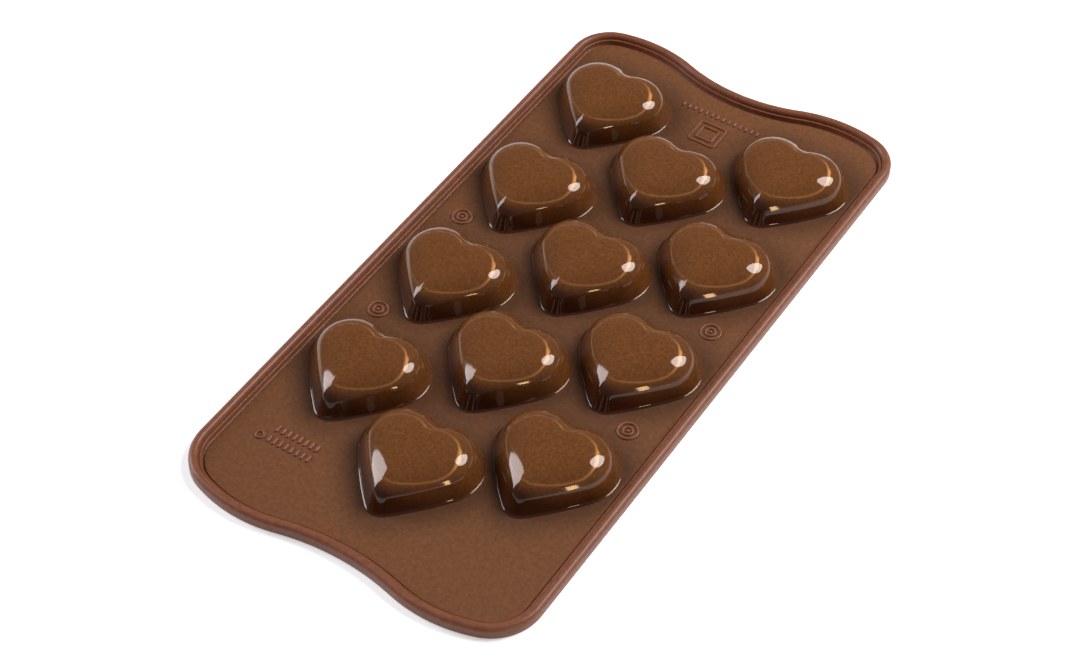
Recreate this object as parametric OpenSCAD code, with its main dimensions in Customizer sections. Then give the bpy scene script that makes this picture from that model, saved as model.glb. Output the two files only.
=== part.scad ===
// Flexible chocolate mould, lying face down as it is stored and turned out.
// One piece of moulded silicone: a thin sheet with two wavy ends, a rounded rim
// all round its edge, and twelve heart cups whose mouths open in the flat face
// at z = 0. Units are millimetres, +Y runs to the far end, +Z is up.

/* [Sheet] */
// Length over both wavy ends
mould_l = 214; // [204:1:230]
// Width over the straight sides
mould_w = 106; // [104:1:118]
// Thickness of the flat sheet between the hearts
sheet_t = 1.2; // [0.8:0.1:1.6]

/* [Rim] */
// Height of the rim's round top above the flat face
rim_h = 3.7; // [3:0.1:6]
// Width of the rim, whose top is a full half round
rim_w = 2.6; // [2:0.1:3.2]
// Radius of the fillet between the rim and the sheet
rim_fillet = 0.8; // [0.3:0.1:1.2]

/* [Far end] */
// Depth of the hollow in the middle of the far end
far_dip = 6; // [2:0.5:8]
// Distance from the centre line to each peak of the far end
far_peak_x = 33; // [29:0.5:36]
// Radius of the curve over each far peak
far_shoulder_r = 41.5; // [34:0.5:50]
// Radius of the far corners
far_corner_r = 13; // [8:0.5:16]

/* [Near end] */
// Depth of the hollow in the middle of the near end
near_dip = 3.6; // [2:0.5:8]
// Distance from the centre line to each peak of the near end
near_peak_x = 28.5; // [26:0.5:36]
// Radius of the curve over each near peak
near_shoulder_r = 43.5; // [34:0.5:50]
// Radius of the near corners
near_corner_r = 15; // [8:0.5:16]

/* [Layout of the hearts] */
// Columns of hearts across the mould
columns = 3; // [1:2:3]
// Rows of hearts in each column
rows = 4; // [1:1:4]
// Distance between neighbouring columns
column_pitch = 29.7; // [29.5:0.1:30.5]
// Distance between neighbouring hearts of one column
row_pitch = 41.7; // [40.5:0.1:43]
// Distance that the middle column stands back towards the near end
stagger = 18.85; // [17:0.05:21]
// Place of the first heart's tip along the length
first_tip_y = -68.7; // [-70:0.1:-67]

/* [Heart] */
// Distance from the heart's axis to the centre of each lobe
lobe_x = 5.6; // [5:0.1:6.2]
// Distance from the tip to the line through the lobe centres
lobe_y = 21.9; // [21:0.1:23]
// Radius of each lobe at the sheet
lobe_r = 11.8; // [10.5:0.1:12]
// Radius of the long, nearly straight sides
side_r = 104; // [60:1:200]
// Radius of the tip at the sheet
tip_r = 4.6; // [4.3:0.1:5.5]
// Radius of the hollow between the lobes at the sheet
cleft_r = 1.5; // [1.3:0.1:4]
// Share of its radius that the tip keeps as the sides close in
tip_keep = 0.45; // [0.4:0.05:0.9]

/* [Cup] */
// Height of the cup's crown above the flat face
cup_h = 10.3; // [9.5:0.1:12]
// Slope of the cup's side, from upright
draft = 22; // [14:1:24]
// Radius of the rounded shoulder between side and top
shoulder_r = 6; // [3:0.5:6]
// Rise of the softly domed top above the shoulder
crown_h = 1.8; // [1.2:0.1:2]
// Radius of the fillet between the cup and the sheet
foot_r = 0.8; // [0.4:0.1:1.1]

/* [Cavity] */
// Thickness of the cup's side wall
cup_wall = 1.7; // [1.2:0.1:2]
// Depth of the cavity's flat top below the end of the shoulder
cover = 1; // [0.8:0.1:1.6]
// Radius of the edge round the cavity's flat top
edge_r = 0.6; // [0.3:0.1:1.2]

/* [Hidden] */

silicone = [0.44, 0.28, 0.19];
rim_r = rim_w / 2;
// The fillet leaves part of the rim's inner wall upright.
rim_fillet_r = min(rim_fillet, rim_h - rim_r - sheet_t - 0.1);
// Slopes at which the shoulder hands over to the crown, and the cavity's edge to its top
crown_slope = 30;
cavity_slope = 4;
// Place of the crown's highest point, from the tip
crown_y = lobe_y - lobe_x / 2;
// Shares of its size at which a top has its rings, and the power by which it falls off
crown_shares = [0.86, 0.66, 0.36];
cavity_shares = [0.6];
crown_power = 3.6;
// Rise of the cavity's top towards its middle
cavity_rise = 0.3;
// Depth by which cups start inside the sheet and cavities start below it
overlap = 0.1;
// Steps along the tip, side, lobe and cleft of half a heart
tip_steps = 3;
side_steps = 3;
lobe_steps = 8;
cleft_steps = 2;
// Steps over the foot fillet and the shoulder of the cup
foot_steps = 2;
shoulder_steps = 3;
edge_steps = 1;
// Steps over the rim's round top and its fillet
rim_steps = 6;
fillet_steps = 2;

function angle_of(v) = atan2(v.y, v.x);

function arc(c, r, from, to, steps) =
    [for (i = [1 : steps]) let (a = from + (to - from) * i / steps) c + r * [cos(a), sin(a)]];

// The point at distance rp from p and rq from q, on the heart's inner side.
function meet(p, rp, q, rq) =
    let (
        gap = norm(q - p),
        along = (gap * gap + rp * rp - rq * rq) / (2 * gap),
        e = (q - p) / gap
    )
    p + along * e + sqrt(rp * rp - along * along) * [e.y, -e.x];

lobe_c = [lobe_x, lobe_y];

// Angle between the axis and the side where it leaves the tip
tip_angle =
    let (side_c = meet(lobe_c, side_r - lobe_r, [0, tip_r], side_r - tip_r))
    -angle_of([0, tip_r] - side_c);

// The heart's outline, moved inwards by d, as points that run round from the tip.
function heart_ring(d, z) =
    let (
        lobe = lobe_r - d,
        side = side_r - d,
        tip = tip_r - (1 - tip_keep) * d,
        cleft = cleft_r + d,
        tip_c = [0, tip_r + (tip - tip_r + d) / sin(tip_angle)],
        side_c = meet(lobe_c, side - lobe, tip_c, side - tip),
        cleft_c = [0, lobe_y + sqrt(pow(lobe + cleft, 2) - lobe_x * lobe_x)],
        at_tip = angle_of(tip_c - side_c),
        at_lobe = angle_of(lobe_c - side_c),
        at_cleft = angle_of(cleft_c - lobe_c),
        right = concat(
            [tip_c - [0, tip]],
            arc(tip_c, tip, -90, at_tip, tip_steps),
            arc(side_c, side, at_tip, at_lobe, side_steps),
            arc(lobe_c, lobe, at_lobe, at_cleft, lobe_steps),
            arc(cleft_c, cleft, at_cleft - 180, -90, cleft_steps)
        ),
        half = len(right)
    )
    concat(
        [for (p = right) [p.x, p.y, z]],
        [for (i = [half - 2 : -1 : 1]) [-right[i].x, right[i].y, z]]
    );

// A ring drawn in towards the crown's highest point.
function crown_ring(ring, share, z) =
    [for (p = ring) [p.x * share, crown_y + (p.y - crown_y) * share, z]];

// A section is a list of pairs of inset and height. This is a side's inset at height z,
// t behind the cup's face.
function wall_d(z, t) = (z - sheet_t) * tan(draft) + t / cos(draft);

// The turn of radius r from a side, t behind the cup's face, to a top of that slope at height z.
function shoulder(t, r, z, slope, steps) =
    let (centre_z = z - r * cos(slope), centre_d = wall_d(centre_z, t + r))
    [for (i = [0 : steps])
        let (a = draft + (90 - slope - draft) * i / steps)
        [centre_d - r * cos(a), centre_z + r * sin(a)]];

function foot() =
    let (turn = 90 - draft, out = foot_r * tan(turn / 2))
    concat(
        [[-out - 3 * overlap, sheet_t - overlap]],
        [for (i = [1 : foot_steps])
            let (a = turn * i / foot_steps)
            [foot_r * sin(a) - out, sheet_t + foot_r * (1 - cos(a))]]
    );

// A closed skin through rings of equal length, with a point at each end.
module loft(rings, low, high) {
    n = len(rings[0]);
    last = (len(rings) - 1) * n;
    low_i = len(rings) * n;
    polyhedron(
        points = concat([for (r = rings) each r], [low, high]),
        faces = concat(
            [for (k = [0 : n : last - n], i = [0 : n - 1]) [k + i, k + n + i, k + n + (i + 1) % n]],
            [for (k = [0 : n : last - n], i = [0 : n - 1]) [k + i, k + n + (i + 1) % n, k + (i + 1) % n]],
            [for (i = [0 : n - 1]) [i, (i + 1) % n, low_i]],
            [for (i = [0 : n - 1]) [last + (i + 1) % n, last + i, low_i + 1]]
        ),
        convexity = 4
    );
}

// A heart-shaped form that follows a section and closes in a crown of height top.
module heart_form(section, shares, top) {
    rings = [for (s = section) heart_ring(s[0], s[1])];
    edge = rings[len(rings) - 1];
    rise = top - edge[0].z;
    crown = [for (s = shares) crown_ring(edge, s, top - rise * pow(s, crown_power))];
    loft(concat(rings, crown), [0, crown_y, rings[0][0].z], [0, crown_y, top]);
}

module cup()
    heart_form(
        concat(foot(), shoulder(0, shoulder_r, cup_h - crown_h, crown_slope, shoulder_steps)),
        crown_shares,
        cup_h
    );

cavity_z = cup_h - crown_h - cover;

module cavity()
    heart_form(
        concat(
            [[wall_d(-overlap, cup_wall), -overlap]],
            shoulder(cup_wall, edge_r, cavity_z, cavity_slope, edge_steps)
        ),
        cavity_shares,
        cavity_z + cavity_rise
    );

module each_heart()
    for (c = [0 : columns - 1], r = [0 : rows - 1])
        translate([
            (c - (columns - 1) / 2) * column_pitch,
            first_tip_y + r * row_pitch - (c % 2) * stagger,
            0
        ])
            children();

// The arcs of one end, right of the centre line: centre, radius, first and last angle, steps.
function end_arcs(dip, peak_x, shoulder, corner) =
    let (
        top = mould_l / 2,
        span = (peak_x * peak_x + dip * dip) / (2 * dip),
        lean = asin(peak_x / span),
        hollow = span - shoulder,
        run = mould_w / 2 - corner - peak_x,
        shoulder_c = [peak_x, top - shoulder],
        corner_c = shoulder_c + [run, sqrt(pow(shoulder - corner, 2) - run * run)],
        turn = angle_of(corner_c - shoulder_c)
    )
    [
        [[0, top - dip + hollow], hollow, -90, lean - 90, 4],
        [shoulder_c, shoulder, 90 + lean, turn, 9],
        [corner_c, corner, turn, 0, 8]
    ];

far_end = end_arcs(far_dip, far_peak_x, far_shoulder_r, far_corner_r);
near_end = end_arcs(near_dip, near_peak_x, near_shoulder_r, near_corner_r);

// Half of one end's outline, moved inwards by d. The hollow grows, the other arcs shrink.
function end_points(e, d) =
    concat(
        arc(e[0][0], e[0][1] + d, e[0][2], e[0][3], e[0][4]),
        arc(e[1][0], e[1][1] - d, e[1][2], e[1][3], e[1][4]),
        arc(e[2][0], e[2][1] - d, e[2][2], e[2][3], e[2][4])
    );

// The sheet's whole outline, moved inwards by d, as points that run round from the near end.
function edge_ring(d, z) =
    let (
        near = end_points(near_end, d),
        far = end_points(far_end, d),
        right = concat(
            [[0, near_dip + d - mould_l / 2]],
            [for (p = near) [p.x, -p.y]],
            [for (i = [len(far) - 1 : -1 : 0]) far[i]],
            [[0, mould_l / 2 - far_dip - d]]
        ),
        half = len(right)
    )
    concat(
        [for (p = right) [p.x, p.y, z]],
        [for (i = [half - 2 : -1 : 1]) [-right[i].x, right[i].y, z]]
    );

// The rim's section, up its outer face, over its round top and down its fillet to the sheet.
function rim_section() =
    concat(
        [[0, 0]],
        [for (i = [0 : rim_steps])
            let (a = 180 * i / rim_steps)
            [rim_r - rim_r * cos(a), rim_h - rim_r + rim_r * sin(a)]],
        [for (i = [0 : fillet_steps])
            let (a = 90 * i / fillet_steps)
            [rim_w + rim_fillet_r * (1 - cos(a)), sheet_t + rim_fillet_r * (1 - sin(a))]]
    );

// The flat sheet and the rim round it, as one skin.
module tray()
    loft([for (s = rim_section()) edge_ring(s[0], s[1])], [0, 0, 0], [0, 0, sheet_t]);

module mould()
    color(silicone)
        difference() {
            union() {
                tray();
                each_heart() cup();
            }
            each_heart() cavity();
        }

mould();
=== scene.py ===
# %% [markdown]
# # A flexible chocolate mould with heart-shaped cups
# The real object is one piece of brown silicone rubber, pressed between two steel
# tools and cured hot. It lies face down here: the cups that shape the chocolates
# point up, and the sheet between them ends in a rounded rim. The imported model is
# loaded first, so that everything after it is made around the same frame.

import math

import bmesh
import bpy
from mathutils import Matrix, Vector, kdtree


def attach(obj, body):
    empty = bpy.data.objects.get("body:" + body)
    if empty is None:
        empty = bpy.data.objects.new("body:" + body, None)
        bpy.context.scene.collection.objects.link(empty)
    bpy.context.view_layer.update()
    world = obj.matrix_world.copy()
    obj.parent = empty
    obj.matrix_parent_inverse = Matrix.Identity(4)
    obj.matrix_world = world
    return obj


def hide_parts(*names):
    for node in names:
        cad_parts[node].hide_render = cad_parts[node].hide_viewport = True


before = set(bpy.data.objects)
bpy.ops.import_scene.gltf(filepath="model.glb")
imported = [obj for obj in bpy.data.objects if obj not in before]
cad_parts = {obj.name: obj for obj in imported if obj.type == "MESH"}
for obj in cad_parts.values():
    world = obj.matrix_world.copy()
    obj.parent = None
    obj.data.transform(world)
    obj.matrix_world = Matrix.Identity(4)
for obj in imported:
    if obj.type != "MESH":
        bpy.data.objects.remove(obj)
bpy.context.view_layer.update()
MM = 0.001

# %% [markdown]
# ## The sizes of the mould
# A mould maker's drawing has one outline for the sheet, one outline for the heart
# and a section for each. These are the drawing's sizes in millimetres. The heart is
# measured from its tip, and an inset is how far inside an outline a line runs.

# %% Sizes in millimetres
LENGTH, WIDTH, SHEET = 214.0, 106.0, 1.2
RIM_HEIGHT, RIM_WIDTH = 3.7, 2.6

# An end has a hollow in the middle and a peak on each side. The last two are radii.
FAR_END = {"dip": 6.0, "peak": 33.0, "shoulder": 41.5, "corner": 13.0}
NEAR_END = {"dip": 3.6, "peak": 28.5, "shoulder": 43.5, "corner": 15.0}

COLUMNS, ROWS = 3, 4
COLUMN_PITCH, ROW_PITCH = 29.7, 41.7
FIRST_TIP, STAGGER = -68.7, 18.85

# With each inset the tip's radius shrinks too, but it keeps a share of what it would lose.
LOBE_X, LOBE_Y, LOBE_R = 5.6, 21.9, 11.8
SIDE_R, TIP_R, CLEFT_R, TIP_KEEP = 104.0, 4.6, 1.5, 0.45

# Draft and slopes are in degrees, and the crown is how much the domed top rises.
CUP_HEIGHT, DRAFT, SHOULDER_R, CROWN, FOOT_R = 10.3, 22.0, 6.0, 1.8, 0.8
CUP_WALL, COVER, EDGE_R, CAVITY_RISE = 1.7, 1.0, 0.6, 0.3
CUP_SLOPE, CAVITY_SLOPE = 30.0, 4.0
CROWN_Y, CROWN_POWER = LOBE_Y - LOBE_X / 2, 3.6
print("the drawing has a sheet of", LENGTH, "by", WIDTH, "mm with", COLUMNS * ROWS, "cups")


# %% [markdown]
# ## Outlines made of arcs
# Both outlines are chains of arcs that meet without a corner, as a draughtsman draws
# them. Drawing an arc as a row of points is one short function. The point where two
# circles meet gives the centre of the heart's long side.

# %% Arcs
def on_circle(centre, radius, degrees):
    angle = math.radians(degrees)
    return Vector((centre.x + radius * math.cos(angle), centre.y + radius * math.sin(angle)))


def arc(centre, radius, start, end, steps):
    """Points along an arc, without the first one, which ends the arc before it."""
    turns = [start + (end - start) * step / steps for step in range(1, steps + 1)]
    return [on_circle(centre, radius, turn) for turn in turns]


def heading(vector):
    return math.degrees(math.atan2(vector.y, vector.x))


def where_circles_meet(first, first_r, second, second_r):
    apart = second - first
    gap = apart.length
    along = (gap**2 + first_r**2 - second_r**2) / (2 * gap)
    across = math.sqrt(first_r**2 - along**2)
    apart.normalize()
    return first + apart * along + Vector((apart.y, -apart.x)) * across


def both_halves(right, height):
    """The right half's points, from the centre line and back to it, and their mirror image."""
    left = [Vector((-point.x, point.y)) for point in reversed(right[1:-1])]
    return [Vector((point.x, point.y, height)) for point in right + left]


# %% [markdown]
# ## The heart's outline
# Half a heart is four arcs: a round tip, a long side that is nearly straight, the
# lobe, and the small hollow between the lobes, which curves the other way. Moving
# inwards makes the first three smaller and the hollow larger. The tip keeps a part of
# its radius, so that the ridge above it stays soft.

# %% Heart outline
LOBE = Vector((LOBE_X, LOBE_Y))
SIDE_AT_SHEET = where_circles_meet(LOBE, SIDE_R - LOBE_R, Vector((0, TIP_R)), SIDE_R - TIP_R)
TIP_ANGLE = math.radians(-heading(Vector((0, TIP_R)) - SIDE_AT_SHEET))


def heart(lobe, lobe_r, tip, tip_r, side_r, cleft_r, height):
    side = where_circles_meet(lobe, side_r - lobe_r, tip, side_r - tip_r)
    cleft = Vector((0, lobe.y + math.sqrt((lobe_r + cleft_r) ** 2 - lobe.x**2)))
    tip_turn = heading(tip - side)
    lobe_turn = heading(lobe - side)
    cleft_turn = heading(cleft - lobe)
    right = [tip - Vector((0, tip_r))]
    right += arc(tip, tip_r, -90, tip_turn, 10)
    right += arc(side, side_r, tip_turn, lobe_turn, 10)
    right += arc(lobe, lobe_r, lobe_turn, cleft_turn, 26)
    right += arc(cleft, cleft_r, cleft_turn - 180, -90, 6)
    return both_halves(right, height)


def heart_ring(inset, height):
    tip_r = TIP_R - (1 - TIP_KEEP) * inset
    tip = Vector((0, TIP_R + (tip_r - TIP_R + inset) / math.sin(TIP_ANGLE)))
    return heart(LOBE, LOBE_R - inset, tip, tip_r, SIDE_R - inset, CLEFT_R + inset, height)


outline = heart_ring(0, SHEET)
heart_width = 2 * max(point.x for point in outline)
heart_length = max(point.y for point in outline)
print("a heart is", round(heart_width, 1), "mm wide and", round(heart_length, 1), "mm long")

# %% [markdown]
# ## The cup's section
# The tool that moulds a cup is milled, so its section is arcs too: a small fillet where
# the cup leaves the sheet, a wall with 22 degrees of draft that lets the chocolate drop
# out, a round shoulder, and a softly domed top. The cavity inside has the same draft,
# but its top is nearly flat and ends in a crisp edge, as the chocolate should.

# %% Cup sections
FLAT_MARGIN = 0.4
CAVITY_Z = CUP_HEIGHT - CROWN - COVER
print("the cavity's edge is", round(CAVITY_Z, 1), "mm above the table")


def wall_inset(height, behind):
    """The inset of a side at a height, at some distance behind the cup's face."""
    lean = math.radians(DRAFT)
    return (height - SHEET) * math.tan(lean) + behind / math.cos(lean)


def shoulder(behind, radius, top, slope, steps):
    """The turn from a side to a top of that slope, as insets and heights."""
    centre_z = top - radius * math.cos(math.radians(slope))
    centre_in = wall_inset(centre_z, behind + radius)
    turns = [math.radians(DRAFT + (90 - slope - DRAFT) * step / steps) for step in range(steps + 1)]
    return [(centre_in - radius * math.cos(turn), centre_z + radius * math.sin(turn)) for turn in turns]


def foot(steps):
    """The fillet between the sheet and a side, as insets and heights."""
    lean = 90 - DRAFT
    out = FOOT_R * math.tan(math.radians(lean / 2))
    turns = [math.radians(lean * step / steps) for step in range(steps + 1)]
    return [(FOOT_R * math.sin(turn) - out, SHEET + FOOT_R * (1 - math.cos(turn))) for turn in turns]


def crowned(section, top, steps):
    """Rings up the section, then rings that close in on the top's highest point."""
    rings = [heart_ring(inset, height) for inset, height in section]
    edge = rings[-1]
    rise = top - edge[0].z
    centre = Vector((0, CROWN_Y, 0))
    for step in range(1, steps + 1):
        share = 1 - step / steps
        ring = [centre + (point - centre) * share for point in edge]
        for point in ring:
            point.z = top - rise * share**CROWN_POWER
        rings.append(ring)
    return rings


# %% [markdown]
# ## Rolling a grid into a form
# Every surface of this mould is a stack of rings, so one trick makes them all. A flat
# grid is added with as many columns as a ring has points and as many rows as there
# are rings. It is rolled up like paper, and the open seam is merged. Operators act on
# all that is selected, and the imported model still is, so it is deselected first.

# %% Roll a grid
SEAM = 0.0005 * MM


def on_whole_mesh(operator, **settings):
    """Runs one of edit mode's operators on all of the active piece."""
    bpy.ops.object.mode_set(mode="EDIT")
    bpy.ops.mesh.select_all(action="SELECT")
    operator(**settings)
    bpy.ops.object.mode_set(mode="OBJECT")


def roll(name, rings):
    bpy.ops.object.select_all(action="DESELECT")
    around, up = len(rings[0]), len(rings) - 1
    bpy.ops.mesh.primitive_grid_add(x_subdivisions=around, y_subdivisions=up, size=1)
    piece = bpy.context.object
    piece.name = name
    for vertex in piece.data.vertices:
        column = round((vertex.co.x + 0.5) * around) % around
        row = round((vertex.co.y + 0.5) * up)
        vertex.co = rings[row][column] * MM
    on_whole_mesh(bpy.ops.mesh.remove_doubles, threshold=SEAM)
    return piece


# %% [markdown]
# ## The materials
# Silicone rubber copies the steel that moulds it. Where the tool is blasted, on the
# flat sheet, it comes out matt with a fine grain. Where the tool is polished, in the
# cups, it shines like glazed chocolate. The rim is between the two. The pigment is
# the same brown throughout, in faint clouds about a millimetre across that the matt
# sheet shows as speckles. On top of it the colours carry painted light and shade: the
# rim is painted lighter, and the cups and the sheet get painted shade and a painted
# highlight, as set out below.

# %% Colours and nodes
def linear(hex_colour):
    parts = [int(hex_colour[i : i + 2], 16) / 255 for i in (1, 3, 5)]
    return tuple(c / 12.92 if c <= 0.04045 else ((c + 0.055) / 1.055) ** 2.4 for c in parts) + (1.0,)


def add_node(tree, kind, settings=None, links=None):
    """A node with its settings and the sockets that feed it.

    A socket goes by its name, or by its number where names are not enough.
    """
    node = tree.nodes.new(kind)
    for key, value in (settings or {}).items():
        if isinstance(key, int) or key in node.inputs:
            node.inputs[key].default_value = value
        else:
            setattr(node, key, value)
    for key, source in (links or {}).items():
        tree.links.new(source, node.inputs[key])
    return node


RUBBER_IOR = 1.41


def silicone(name, dark, light, cloud_mm, roughness, grain_mm, grain_height_mm):
    """Brown silicone rubber: clouded pigment, and a grain as coarse as the tool's."""
    material = bpy.data.materials.new(name)
    material.use_nodes = True
    tree = material.node_tree
    shader = tree.nodes["Principled BSDF"]
    place = add_node(tree, "ShaderNodeTexCoord").outputs["Object"]
    clouds = add_node(
        tree, "ShaderNodeTexNoise", {"Scale": 1 / (cloud_mm * MM), "Detail": 4.0, "Roughness": 0.7},
        {"Vector": place},
    )

    # Noise seldom reaches 0 or 1, so the two pigments sit a little closer to the middle.
    pigment = add_node(tree, "ShaderNodeValToRGB", links={"Fac": clouds.outputs["Fac"]})
    for element, position, colour in zip(pigment.color_ramp.elements, (0.3, 0.7), (dark, light)):
        element.position = position
        element.color = linear(colour)
    grain = add_node(
        tree, "ShaderNodeTexNoise", {"Scale": 1 / (grain_mm * MM), "Detail": 3.0}, {"Vector": place}
    )
    bump = add_node(
        tree, "ShaderNodeBump", {"Strength": 1.0, "Distance": grain_height_mm * MM},
        {"Height": grain.outputs["Fac"]},
    )
    tree.links.new(pigment.outputs["Color"], shader.inputs["Base Color"])
    tree.links.new(bump.outputs["Normal"], shader.inputs["Normal"])
    shader.inputs["Roughness"].default_value = roughness
    shader.inputs["IOR"].default_value = RUBBER_IOR
    print(name, "has clouds of", cloud_mm, "mm and a roughness of", roughness)
    return material


# %% Finishes
# Blasting grit is about a tenth of a millimetre, too fine to show in the render, so the
# matt grain is drawn coarser.
sheet_finish = silicone(
    "silicone_blasted", "#61391c", "#784a29",
    cloud_mm=1.3, roughness=0.6, grain_mm=0.7, grain_height_mm=0.04,
)

# A polished tool leaves a mirror with only a trace of waviness.
cup_finish = silicone(
    "silicone_polished", "#5c3515", "#764724",
    cloud_mm=0.9, roughness=0.05, grain_mm=3.0, grain_height_mm=0.003,
)

# The rim is as the milling cutter leaves it, satin. Its colour is painted lighter and
# redder than the sheet's, as a painted highlight for the pinkish sheen that the rim catches.
rim_finish_and_painted_highlight = silicone(
    "silicone_rim", "#70402b", "#865036",
    cloud_mm=1.6, roughness=0.42, grain_mm=0.7, grain_height_mm=0.01,
)

# %% [markdown]
# ## Painted light and shade in the cups
# The rubber lets a little light through. Over the cavity's flat top it is only about a
# millimetre thick and looks milky, and over the cavity's sides it is thick and looks
# darker. The cup's colour paints the rest of the light on: painted shade turns the sides
# nearly black, most towards the tip and the left, and a painted highlight draws a warm
# bright line over the cavity's crisp edge, widest on the right, where the light comes
# from. Real light inside rubber would take long to render and would be lost on export,
# so the cup carries a map instead: how bright the painted line is at the nearest edge,
# and how far the point is outside it. The material turns the map into colour.
#
# A Mix node has a row of sockets for each kind of value, so they go by number. For
# colours 0 is the factor, 6 and 7 are the two colours, and 2 is the result.

# %% Painted shade over the cavity's sides
PAINTED_SHADE_FROM, PAINTED_SHADE_TO = 0.2, 3.2
tree = cup_finish.node_tree
shader = tree.nodes["Principled BSDF"]
pigment = shader.inputs["Base Color"].links[0].from_socket
from_edge = add_node(tree, "ShaderNodeUVMap", {"uv_map": "edge"}).outputs["UV"]
split = add_node(tree, "ShaderNodeSeparateXYZ", links={"Vector": from_edge}).outputs
# Painted shade: the pigment is mixed towards near black with the distance outside the edge.
painted_shade_amount = add_node(
    tree, "ShaderNodeMapRange",
    {"From Min": PAINTED_SHADE_FROM, "From Max": PAINTED_SHADE_TO, "To Min": 0.0, "To Max": 0.97},
    {"Value": split["Y"]},
)
darker = add_node(
    tree, "ShaderNodeMix", {"data_type": "RGBA", 7: linear("#321308")},
    {0: painted_shade_amount.outputs["Result"], 6: pigment},
)
print("a cup gets darker from", PAINTED_SHADE_FROM, "to", PAINTED_SHADE_TO, "mm outside the edge")

# %% Painted highlight line over the cavity's edge
line_inside = add_node(
    tree, "ShaderNodeMapRange", {"interpolation_type": "SMOOTHSTEP", "From Min": -1.0, "From Max": 0.0},
    {"Value": split["Y"]},
)
line_outside = add_node(
    tree, "ShaderNodeMapRange",
    {"interpolation_type": "SMOOTHSTEP", "From Min": 0.05, "From Max": 0.3, "To Min": 1.0, "To Max": 0.0},
    {"Value": split["Y"]},
)
line = add_node(
    tree, "ShaderNodeMath", {"operation": "MULTIPLY"},
    {0: line_inside.outputs["Result"], 1: line_outside.outputs["Result"]},
)
# Painted highlight: the line's mask times the map's brightness sets how much warm light is painted on.
glow = add_node(tree, "ShaderNodeMath", {"operation": "MULTIPLY"}, {0: line.outputs[0], 1: split["X"]})
warmer = add_node(
    tree, "ShaderNodeMix", {"data_type": "RGBA", 7: linear("#d9985e")},
    {0: glow.outputs[0], 6: darker.outputs[2]},
)
tree.links.new(warmer.outputs[2], shader.inputs["Base Color"])

# The skin of a polished cup is denser than the bulk. It reflects a little more, and warmly.
shader.inputs["IOR"].default_value = 1.46
shader.inputs["Specular Tint"].default_value = linear("#fff2e9")
print("the cups' material has", len(tree.nodes), "nodes")

# %% [markdown]
# ## Painted shade in the sheet
# Within about a centimetre of a cup the sheet's colour is painted darker. This is
# painted shade for the shadows and the dim light between the cups; a small part of it is
# real, where the white table shines less through the thin rubber beside a cup's thick
# side. The same map holds the way to the nearest cup there, and the painted shade grows
# towards the cup.

# %% Painted shade beside the cups
SHADE_REACH, SHADE_MOST = 10.0, 0.46
tree = sheet_finish.node_tree
shader = tree.nodes["Principled BSDF"]
pigment = shader.inputs["Base Color"].links[0].from_socket
from_cup = add_node(tree, "ShaderNodeUVMap", {"uv_map": "edge"}).outputs["UV"]
split = add_node(tree, "ShaderNodeSeparateXYZ", links={"Vector": from_cup}).outputs
# Painted shade: near a cup the sheet's pigment is mixed towards dark brown, most at the cup's foot.
beside = add_node(
    tree, "ShaderNodeMapRange",
    {
        "interpolation_type": "SMOOTHSTEP",
        "From Min": 0.0, "From Max": SHADE_REACH, "To Min": SHADE_MOST, "To Max": 0.0,
    },
    {"Value": split["Y"]},
)
darker = add_node(
    tree, "ShaderNodeMix", {"data_type": "RGBA", 7: linear("#2a1408")},
    {0: beside.outputs["Result"], 6: pigment},
)
tree.links.new(darker.outputs[2], shader.inputs["Base Color"])

# The blasted grain swallows a part of the gloss.
shader.inputs["Specular IOR Level"].default_value = 0.38
print("the sheet is darker within", SHADE_REACH, "mm of a cup")


# %% [markdown]
# ## The sheet's outline
# Each end of the sheet is a shallow hollow between two peaks, with a large round
# shoulder over each peak and a smaller arc for the corner.

# %% Sheet outline
def end_arcs(end):
    """An end's three arcs from the middle outwards: centre, radius, start, stop and steps."""
    top = LENGTH / 2
    between_centres = (end["peak"] ** 2 + end["dip"] ** 2) / (2 * end["dip"])
    lean = math.degrees(math.asin(end["peak"] / between_centres))
    hollow_r = between_centres - end["shoulder"]
    hollow = Vector((0, top - end["dip"] + hollow_r))
    shoulder_centre = Vector((end["peak"], top - end["shoulder"]))
    run = WIDTH / 2 - end["corner"] - end["peak"]
    corner = shoulder_centre + Vector((run, math.sqrt((end["shoulder"] - end["corner"]) ** 2 - run**2)))
    turn = heading(corner - shoulder_centre)
    return [
        (hollow, -hollow_r, -90, lean - 90, 12),
        (shoulder_centre, end["shoulder"], 90 + lean, turn, 24),
        (corner, end["corner"], turn, 0, 20),
    ]


def end_points(end, inset):
    """The points of an end. A hollow has a radius below zero, so an inset makes it larger."""
    points = []
    for centre, radius, start, stop, steps in end_arcs(end):
        points += arc(centre, abs(radius - inset), start, stop, steps)
    return points


def edge_ring(inset, height):
    near = [Vector((point.x, -point.y)) for point in end_points(NEAR_END, inset)]
    far = end_points(FAR_END, inset)
    first = Vector((0, NEAR_END["dip"] + inset - LENGTH / 2))
    last = Vector((0, LENGTH / 2 - FAR_END["dip"] - inset))
    return both_halves([first] + near + far[::-1] + [last], height)


print("the sheet's outline has", len(edge_ring(0, 0)), "points")

# %% [markdown]
# ## The rim
# The rim's section is a flat foot, an upright outer face, a half-round top, a narrow
# ledge on the inside and a shallow groove before the sheet starts. Ledge and groove
# give the rim the fine bright line and the dark one that follow it all the way round.

# %% Rim
UNDER_R, UNDER_MIDDLE, TOP_R = 0.3, 0.09, RIM_WIDTH / 2
LEDGE_WIDTH, LEDGE_HEIGHT, LEDGE_R = 0.75, 2.35, 0.3
GROOVE_WIDTH, GROOVE_DEPTH = 0.8, 0.5
RIM_INSIDE = RIM_WIDTH + LEDGE_WIDTH
TOP_STEPS, LEDGE_STEPS, GROOVE_STEPS = 12, 4, 8

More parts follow.
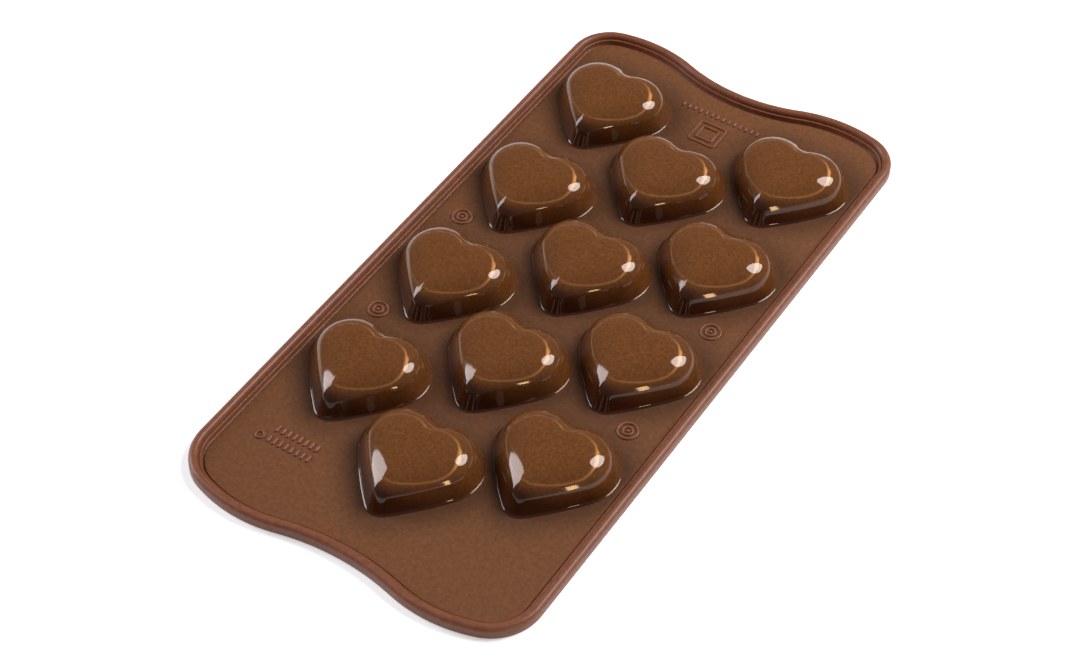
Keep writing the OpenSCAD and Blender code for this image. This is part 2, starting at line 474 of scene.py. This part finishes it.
rim_section = [(UNDER_R + FLAT_MARGIN, 0.0), (UNDER_R, 0.0)]
rim_section += [(UNDER_MIDDLE, UNDER_MIDDLE), (0.0, UNDER_R)]
for step in range(TOP_STEPS + 1):
    turn = math.pi * step / TOP_STEPS
    rim_section.append((TOP_R - TOP_R * math.cos(turn), RIM_HEIGHT - TOP_R + TOP_R * math.sin(turn)))

# The ledge starts a little lower than it ends, which leaves a crease beside the rim.
rim_section.append((RIM_WIDTH, LEDGE_HEIGHT - LEDGE_R / 2))
for step in range(LEDGE_STEPS + 1):
    turn = math.pi / 2 * step / LEDGE_STEPS
    rim_section.append(
        (RIM_INSIDE - LEDGE_R * (1 - math.sin(turn)), LEDGE_HEIGHT - LEDGE_R * (1 - math.cos(turn)))
    )
for step in range(GROOVE_STEPS + 1):
    share = step / GROOVE_STEPS
    rim_section.append((RIM_INSIDE + GROOVE_WIDTH * share, SHEET - GROOVE_DEPTH * math.sin(math.pi * share)))
rim_section.append((RIM_INSIDE + GROOVE_WIDTH + FLAT_MARGIN / 2, SHEET))
mould = roll("mould_body", [edge_ring(inset, height) for inset, height in rim_section])
mould.data.materials.append(rim_finish_and_painted_highlight)
print("the rim has", len(mould.data.vertices), "points")

# %% [markdown]
# ## One cup and its cavity
# The outside of the cup starts with a narrow flat margin on the sheet, and the cavity
# with one on the flat face, so that both can be welded in. The cavity's mouth has a
# small round lip.

# %% Cup and cavity
foot_section = foot(6)
cup_section = [(foot_section[0][0] - FLAT_MARGIN, SHEET)] + foot_section
cup_shoulder = shoulder(0, SHOULDER_R, CUP_HEIGHT - CROWN, CUP_SLOPE, 10)
start, end = foot_section[-1], cup_shoulder[0]
for share in (1 / 3, 2 / 3):
    cup_section.append((start[0] + (end[0] - start[0]) * share, start[1] + (end[1] - start[1]) * share))
cup_section += cup_shoulder
cup = roll("cup", crowned(cup_section, CUP_HEIGHT, 14))
cup.data.materials.append(cup_finish)

MOUTH_MARGIN, LIP_OUT, LIP_MIDDLE, LIP_UP = 0.7, 0.25, 0.08, 0.3
mouth = wall_inset(0, CUP_WALL)
cavity_section = [(mouth - MOUTH_MARGIN, 0.0), (mouth - LIP_OUT, 0.0)]
cavity_section += [(mouth - LIP_MIDDLE, LIP_MIDDLE), (wall_inset(LIP_UP, CUP_WALL), LIP_UP)]
cavity_section += shoulder(CUP_WALL, EDGE_R, CAVITY_Z, CAVITY_SLOPE, 6)
cavity = roll("cavity", crowned(cavity_section, CAVITY_Z + CAVITY_RISE, 5))
cavity.data.materials.append(cup_finish)
print("a cup has", len(cup.data.vertices), "points and its cavity", len(cavity.data.vertices))

# %% [markdown]
# ## The map for the painted line and shade
# Seen from above through the dome, the cavity's edge is a heart of its own, rounder
# than the cup. Each point of the cup looks for the nearest place on that heart. Where
# the edge faces right and back, towards the light, the painted highlight line is bright
# and about a millimetre wide, and elsewhere it is a faint, thin line. The painted shade
# over the sides is strongest towards the tip and the left, away from the light, and weak
# on the lit side. The cavity has the same material, so it gets the same map, left empty.

# %% Map the painted line and shade on the cup
seen_edge = heart(
    lobe=Vector((5.04, 19.06)), lobe_r=7.57, tip=Vector((0, 12.0)), tip_r=5.92,
    side_r=28.6, cleft_r=1.6, height=0,
)

# The light comes from the right and a little from the back. Where the edge faces it the
# line is bright, along the rest of the right side a little clearer, and elsewhere faint.
LIT_WAY, LIT_POWER = Vector((0.9, 0.436, 0)), 10
FAINT, CLEARER, BRIGHT = 0.1, 0.18, 0.72

# The line's width in millimetres, where it is faint and where it is bright.
THIN_LINE, WIDE_LINE = 0.3, 1.0

# The painted shade counts fully where the edge faces the tip, and least where it faces back.
LEAST_DARK, DARK_FROM, DARK_LEAN, DARK_SPAN = 0.12, 0.3, 0.2, 0.7
DEEPEST, DEEPEST_LEAN = 2.55, 0.45


def clamp(value):
    return max(0.0, min(1.0, value))


def way_from_line(point, start, end):
    """The shortest way from a line to a point, and the way that the line faces."""
    run = end - start
    share = clamp((point - start).dot(run) / run.length_squared)
    return point - start - run * share, Vector((run.y, -run.x, 0)).normalized()


def painted_light_mark(point):
    """How brightly the nearest edge shows, and how far outside it the point is.

    Outside the edge that is in millimetres of painted shade, and inside it in widths of
    the painted highlight line.
    """
    ways = [way_from_line(point, *ends) for ends in zip(seen_edge, seen_edge[1:] + seen_edge[:1])]
    gap, facing = min(ways, key=lambda way: way[0].length)
    away = gap.length
    lit = max(0.0, facing.dot(LIT_WAY))
    shows = FAINT + CLEARER * max(0.0, facing.x) + BRIGHT * lit**LIT_POWER
    if gap.dot(facing) <= 0:
        return shows, -away / (THIN_LINE + (WIDE_LINE - THIN_LINE) * shows)
    to_tip = clamp((DARK_FROM - DARK_LEAN * facing.x - facing.y) / DARK_SPAN)
    dark = LEAST_DARK + (1 - LEAST_DARK) * to_tip
    deepest = DEEPEST + DEEPEST_LEAN * facing.x
    return shows, min(away, THIN_LINE) + min(max(away - THIN_LINE, 0.0) * dark, deepest)


# Painted light and shade: each point of the cup gets its line brightness and its shade distance.
painted_light_marks = [painted_light_mark(Vector((vertex.co.x, vertex.co.y, 0)) / MM) for vertex in cup.data.vertices]
edge_map = cup.data.uv_layers.new(name="edge")
for loop in cup.data.loops:
    edge_map.data[loop.index].uv = painted_light_marks[loop.vertex_index]
cavity.data.uv_layers.new(name="edge", do_init=False)
print("the deepest point of the cup's map is", round(max(mark[1] for mark in painted_light_marks), 1), "mm outside")

# %% [markdown]
# ## Twelve hearts in three columns
# The outer columns stand level with each other. The middle one is set back by nearly
# half a pitch, so that each heart's tip points into the gap between its neighbours.

# %% Lay out the hearts
def select_only(pieces):
    """Selects these pieces and makes the first one active."""
    bpy.ops.object.select_all(action="DESELECT")
    for piece in pieces:
        piece.select_set(True)
    bpy.context.view_layer.objects.active = pieces[0]


tips = []
for column in range(COLUMNS):
    for row in range(ROWS):
        x = (column - (COLUMNS - 1) / 2) * COLUMN_PITCH
        y = FIRST_TIP + row * ROW_PITCH - column % 2 * STAGGER
        tips.append(Vector((x, y, 0)))

hearts = []
for pattern in (cup, cavity):
    for tip in tips:
        select_only([pattern])
        bpy.ops.object.duplicate(linked=False)
        bpy.ops.transform.translate(value=tip * MM)
        hearts.append(bpy.context.object)
    bpy.data.objects.remove(pattern)
print(len(tips), "hearts at", [(round(tip.x, 1), round(tip.y, 1)) for tip in tips])

# %% [markdown]
# ## Welding everything into one skin
# The rim, the cups and the cavities are joined. What is left open is two flat faces
# with heart-shaped holes in them: the top of the sheet and the face that the mould
# lies on. Each is filled between its open edges, and then all faces are turned to
# point outwards. The sheet's top is also divided finely, because its map needs points
# between the cups.

# %% Join
select_only([mould] + hearts)
bpy.ops.object.join()
print("the joined mould has", len(mould.data.vertices), "points")


# %% Fill the two flat faces
LEVEL_TOLERANCE = 0.001 * MM


def is_level(vertex, level):
    return abs(vertex.co.z - level * MM) < LEVEL_TOLERANCE


for level in (SHEET, 0.0):
    bpy.ops.object.mode_set(mode="EDIT")
    bpy.ops.mesh.select_mode(type="EDGE")
    bpy.ops.mesh.select_all(action="DESELECT")
    skin = bmesh.from_edit_mesh(mould.data)
    for edge in skin.edges:
        edge.select_set(edge.is_boundary and all(is_level(vertex, level) for vertex in edge.verts))
    bmesh.update_edit_mesh(mould.data)
    bpy.ops.mesh.fill(use_beauty=True)
    if level == SHEET:
        bpy.ops.mesh.subdivide(number_cuts=3)
    bpy.ops.object.mode_set(mode="OBJECT")
on_whole_mesh(bpy.ops.mesh.normals_make_consistent, inside=False)
print("the welded skin has", len(mould.data.polygons), "faces")

# %% Finish the sheet
CREASE = math.radians(35)
mould.data.materials.append(sheet_finish)
sheet_slot = len(mould.data.materials) - 1
for face in mould.data.polygons:
    if all(is_level(mould.data.vertices[index], SHEET) for index in face.vertices):
        face.material_index = sheet_slot
bpy.ops.object.shade_smooth_by_angle(angle=CREASE)
print("the matt sheet has", sum(face.material_index == sheet_slot for face in mould.data.polygons), "faces")

# %% Map the way to the nearest cup
feet = [point + tip for tip in tips for point in heart_ring(foot_section[0][0], 0)]
nearest_foot = kdtree.KDTree(len(feet))
for index, point in enumerate(feet):
    nearest_foot.insert(point, index)
nearest_foot.balance()
# This distance sets the painted shade beside the cups.
edge_map = mould.data.uv_layers["edge"]
farthest = 0.0
for face in mould.data.polygons:
    if face.material_index == sheet_slot:
        for loop in face.loop_indices:
            place = mould.data.vertices[mould.data.loops[loop].vertex_index].co / MM
            _, _, away = nearest_foot.find(Vector((place.x, place.y, 0)))
            edge_map.data[loop].uv = (0, away)
            farthest = max(farthest, away)
print("the sheet reaches", round(farthest, 1), "mm away from the nearest cup")

# %% Count the skin
skin = bmesh.new()
skin.from_mesh(mould.data)
open_edges = sum(1 for edge in skin.edges if not edge.is_manifold)
volume = skin.calc_volume() / MM**3
triangles = sum(len(face.verts) - 2 for face in skin.faces)
skin.free()
print("the mould has", triangles, "triangles,", open_edges, "open edges and", round(volume), "mm3")

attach(mould, "root")
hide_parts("mould")

# %% [markdown]
# ## Raised marks on the sheet
# A toolmaker engraves small marks into the steel, and they stand up on the rubber. Here
# they are plain: rings, rounded squares and rows of short ribs, half a millimetre high.
# Each line is one more rolled grid that runs round an outline, and its foot is sunk
# into the sheet so that no gap shows.

# %% Raised lines and ribs
LINE_WIDTH, RIB_R, SUNK = 0.7, 0.5, 0.2

# Each pair is a share of the width, from the outline inwards, and a height over the sheet.
LINE_SECTION = [
    (0.0, -SUNK), (0.0, 0.15), (0.15, 0.36), (0.5, 0.45),
    (0.85, 0.36), (1.0, 0.15), (1.0, -SUNK), (0.0, -SUNK),
]
RIB_SECTION = [(0.98, -SUNK), (0.0, -SUNK), (0.0, 0.15), (0.3, 0.36), (0.7, 0.48), (0.999, 0.5)]
RIB_CLOSES_AT = 0.02

# In degrees, how much before its quarter turn a corner's arc starts.
ARC_LEAD = 0.5


def rounded_square(centre, half, corner_r, inset, height, taller=0.0):
    """A ring of points. It is a circle where the corner's radius is half the width."""
    points = []
    for quarter in range(4):
        turn = math.radians(90 * quarter + 45)
        reach = (half - corner_r) * math.sqrt(2)
        corner = centre + Vector((math.cos(turn), math.sin(turn))) * reach
        corner.y += taller if quarter < 2 else -taller
        points += arc(corner, corner_r - inset, 90 * quarter - ARC_LEAD, 90 * quarter + 90, 8)
    return [Vector((point.x, point.y, SHEET + height)) for point in points]


def raised_line(centre, half, corner_r):
    rings = [
        rounded_square(centre, half, corner_r, LINE_WIDTH * share, height) for share, height in LINE_SECTION
    ]
    return roll("raised_line", rings)


def rib(centre, taller=0.0):
    """A raised dot, or an upright rib where it is made taller. Its ends close to a point."""
    rings = [
        rounded_square(centre, RIB_R, RIB_R, RIB_R * share, height, taller) for share, height in RIB_SECTION
    ]
    piece = roll("rib", rings)
    on_whole_mesh(bpy.ops.mesh.remove_doubles, threshold=RIB_CLOSES_AT * RIB_R * MM)
    return piece


def row_of_ribs(x, y, pitch, count, taller):
    return [rib(Vector((x + pitch * step, y)), taller) for step in range(count)]


# %% Place the marks
marks = []
for x, y in ((-41.0, 14.0), (-40.0, -28.5), (40.5, 14.0), (40.0, -28.5)):
    place = Vector((x, y))
    marks += [raised_line(place, half=3.1, corner_r=3.1), raised_line(place, half=1.7, corner_r=1.7)]
    marks.append(rib(place))
for half, corner_r in ((4.6, 1.2), (2.9, 0.8)):
    marks.append(raised_line(Vector((0, 82.0)), half, corner_r))
marks += row_of_ribs(-12.4, 90.0, pitch=1.9, count=14, taller=0.5)
marks += row_of_ribs(-37.0, -78.0, pitch=1.8, count=8, taller=0.8)
marks += row_of_ribs(-37.0, -82.0, pitch=1.8, count=8, taller=0.8)
marks.append(raised_line(Vector((-39.9, -82.2)), half=1.5, corner_r=1.5))
print(len(marks), "raised lines and ribs")

# %% Join the marks
MARK_CREASE = math.radians(50)
select_only(marks)
bpy.ops.object.join()
raised = bpy.context.object
raised.name = "raised_marks"
on_whole_mesh(bpy.ops.mesh.normals_make_consistent, inside=False)
bpy.ops.object.shade_smooth_by_angle(angle=MARK_CREASE)
# The marks share the rim's colour, painted lighter than the sheet as a painted highlight.
raised.data.materials.append(rim_finish_and_painted_highlight)
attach(raised, "root")
print("the raised marks have", len(raised.data.polygons), "faces")

# %% [markdown]
# ## Camera
# A product photographer stands over the table with a long lens. The camera is put in
# the same place, as found by matching the sheet's outline and the grid of hearts.

# %% Camera
bpy.ops.object.camera_add(
    location=(0.24215, -0.39423, 0.49047),
    rotation=(math.radians(42.659), math.radians(-0.433), math.radians(32.850)),
)
camera = bpy.context.object
camera.name = "photo_camera"
camera.data.sensor_width = 36.0
camera.data.lens = 82.78
camera.data.clip_start = 0.01
camera.data.clip_end = 20.0
bpy.context.scene.camera = camera
print("the camera is", round(camera.location.length, 2), "m from the middle of the mould")

# %% [markdown]
# ## Floor
# The floor is a white sweep, far larger than the view. It lies a tenth of a millimetre
# below the mould, so that the two flat faces never share a plane. The camera and the
# gloss see a little glow in it, which keeps it white, and it keeps the mould's shadow.

# %% Floor
FLOOR_R, FLOOR_GAP, FLOOR_GLOW = 1.3, 0.1 * MM, 0.45
bpy.ops.mesh.primitive_circle_add(
    vertices=96, radius=FLOOR_R, fill_type="NGON", location=(0, 0, -FLOOR_GAP)
)
floor = bpy.context.object
floor.name = "floor"
floor_paint = bpy.data.materials.new("white_sweep")
floor_paint.use_nodes = True
tree = floor_paint.node_tree
shader = tree.nodes["Principled BSDF"]
shader.inputs["Base Color"].default_value = linear("#f4f4f4")
shader.inputs["Roughness"].default_value = 0.9
seen = add_node(tree, "ShaderNodeLightPath").outputs
straight_or_gloss = add_node(
    tree, "ShaderNodeMath", {"operation": "MAXIMUM"}, {0: seen["Is Camera Ray"], 1: seen["Is Glossy Ray"]}
)
any_of_three = add_node(
    tree, "ShaderNodeMath", {"operation": "MAXIMUM"},
    {0: straight_or_gloss.outputs[0], 1: seen["Is Transmission Ray"]},
)
shine = add_node(
    tree, "ShaderNodeMath", {"operation": "MULTIPLY", 1: FLOOR_GLOW}, {0: any_of_three.outputs[0]}
)
shader.inputs["Emission Color"].default_value = (1, 1, 1, 1)
tree.links.new(shine.outputs[0], shader.inputs["Emission Strength"])
floor.data.materials.append(floor_paint)
print("the floor is", 2 * FLOOR_R, "m across")


# %% [markdown]
# ## Lights
# Each lamp is placed by what it does to the gloss of the cups. A round lamp behind on
# the right leaves the white spot on every dome. A tall soft box on the left leaves the
# pale kite shape on every left lobe, and a narrow warm strip low on the right leaves the
# streak near the tip.

# %% Lights
def area_light(name, shape, size, azimuth, elevation, distance, power, colour="#ffffff", spin=0.0):
    """A flat lamp that faces the mould. Azimuth 0 is beyond the far end, 90 on the right."""
    bpy.ops.object.light_add(type="AREA")
    lamp = bpy.context.object
    lamp.name = name
    turn, rise = math.radians(azimuth), math.radians(elevation)
    way = Vector((math.sin(turn) * math.cos(rise), math.cos(turn) * math.cos(rise), math.sin(rise)))
    lamp.location = way * distance
    lamp.rotation_mode = "QUATERNION"
    side = Vector((0, 0, 1)).cross(way).normalized()
    upright = Matrix((side, way.cross(side), way)).transposed()
    lamp.rotation_quaternion = (upright @ Matrix.Rotation(math.radians(spin), 3, "Z")).to_quaternion()
    lamp.data.shape = shape
    lamp.data.size, lamp.data.size_y = size
    lamp.data.energy = power
    lamp.data.color = linear(colour)[:3]
    print(name, "is", size[0], "by", size[1], "m and gives", power, "W")


area_light("round_lamp", "DISK", (0.66, 0.66), azimuth=41.0, elevation=47.2, distance=1.2, power=14.8)
area_light(
    "soft_box", "RECTANGLE", (1.53, 0.71),
    azimuth=-99.3, elevation=25.2, distance=1.89, power=30, colour="#f4f6ff", spin=-76,
)
area_light(
    "strip_lamp", "RECTANGLE", (0.075, 0.7),
    azimuth=117.2, elevation=5.4, distance=1.5, power=3.4, colour="#ffd9a0",
)

# %% [markdown]
# ## World
# The world is the room around the table. The camera sees it white, as the background
# is. The gloss sees it white at the table's edge and dim higher up, where the ceiling
# is. The light it gives the mould is the same soft grey from all sides. In a Mix node
# for numbers 2 and 3 are the two values, and 0 is the factor and also the result.

# %% World
SOFT_GREY = 0.12
world = bpy.data.worlds.new("studio")
bpy.context.scene.world = world
world.use_nodes = True
tree = world.node_tree
background = tree.nodes["Background"]
background.inputs["Color"].default_value = (1, 1, 1, 1)
way = add_node(tree, "ShaderNodeTexCoord").outputs["Generated"]
up = add_node(tree, "ShaderNodeSeparateXYZ", links={"Vector": way})
room = add_node(
    tree, "ShaderNodeMapRange", {"From Min": 0.0, "From Max": 0.12, "To Min": 1.0, "To Max": 0.2},
    {"Value": up.outputs["Z"]},
)
seen = add_node(tree, "ShaderNodeLightPath").outputs
mirrored = add_node(
    tree, "ShaderNodeMath", {"operation": "MAXIMUM"},
    {0: seen["Is Glossy Ray"], 1: seen["Is Transmission Ray"]},
)
around = add_node(
    tree, "ShaderNodeMix", {"data_type": "FLOAT", 2: SOFT_GREY},
    {0: mirrored.outputs[0], 3: room.outputs["Result"]},
)
strength = add_node(
    tree, "ShaderNodeMath", {"operation": "MAXIMUM"}, {0: around.outputs[0], 1: seen["Is Camera Ray"]}
)
tree.links.new(strength.outputs[0], background.inputs["Strength"])
print("the room lights the mould with a grey of", SOFT_GREY)

# %% [markdown]
# ## The view
# The colours above are those of the finished picture, so the view leaves them as they are.

# %% Finish
bpy.context.scene.view_settings.view_transform = "Standard"
